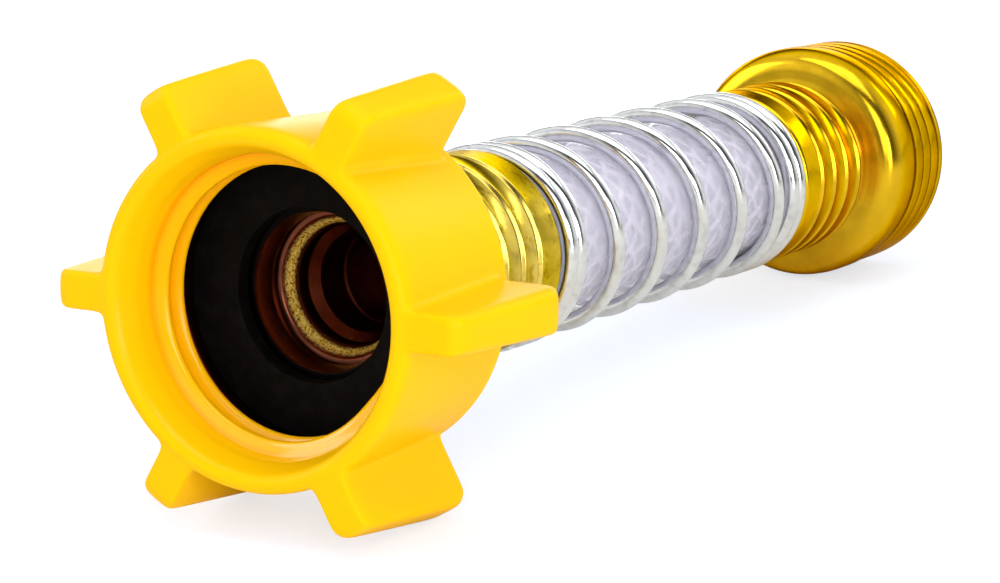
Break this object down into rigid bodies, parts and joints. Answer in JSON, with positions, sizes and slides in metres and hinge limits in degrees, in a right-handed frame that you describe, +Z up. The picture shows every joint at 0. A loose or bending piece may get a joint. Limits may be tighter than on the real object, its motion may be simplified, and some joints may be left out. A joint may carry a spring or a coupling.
{
  "type": "flexible hose protector",
  "caption": "Short flexible water hose link: winged swivel nut with rubber washer, crimped brass ends, braided clear hose in a steel coil spring, male-threaded outlet",
  "frame": {"origin": "centre of the inlet thread on the water axis", "axes": "+X along the water axis from the inlet mouth to the outlet, +Z up, +Y to the left when looking along +X; one wing pair lies along Y and the hose bends about Y"},
  "size_m": [0.126, 0.0452, 0.0414],
  "materials": {
    "yellow_plastic": "moulded, satin",
    "black_rubber": "moulded",
    "brass": "turned, bright",
    "clear_pvc": "clear, slightly lilac",
    "white_yarn": "polyester yarn",
    "spring_steel": "bright plated wire"
  },
  "bodies": {
    "inlet_tail": {"inlet_stem": "brass", "inlet_ferrule": "brass"},
    "swivel_nut": {"grip_nut": "yellow_plastic", "hose_washer": "black_rubber"},
    "hose_middle": {"hose_liner": "clear_pvc", "braid_inner_lay": "white_yarn", "braid_outer_lay": "white_yarn", "hose_cover": "clear_pvc", "support_spring": "spring_steel"},
    "outlet_end": {"outlet_ferrule": "brass", "outlet_fitting": "brass"}
  },
  "joints": [
    {"name": "nut_swivel", "type": "hinge", "parent": "inlet_tail", "child": "swivel_nut", "pos_m": [0, 0, 0], "axis": [1, 0, 0], "continuous": true},
    {"name": "hose_bend_inlet", "type": "hinge", "parent": "inlet_tail", "child": "hose_middle", "pos_m": [0.04637, 0, 0], "axis": [0, 1, 0], "range_deg": [-25, 25], "stiffness_Nm_per_rad": 1.6, "deforming": ["hose_liner", "braid_inner_lay", "braid_outer_lay", "hose_cover", "support_spring"]},
    {"name": "hose_bend_outlet", "type": "hinge", "parent": "hose_middle", "child": "outlet_end", "pos_m": [0.07437, 0, 0], "axis": [0, 1, 0], "range_deg": [-25, 25], "stiffness_Nm_per_rad": 1.6}
  ],
  "couplings": [
    {"joint": "hose_bend_outlet", "follows": "hose_bend_inlet", "ratio": 1}
  ]
}
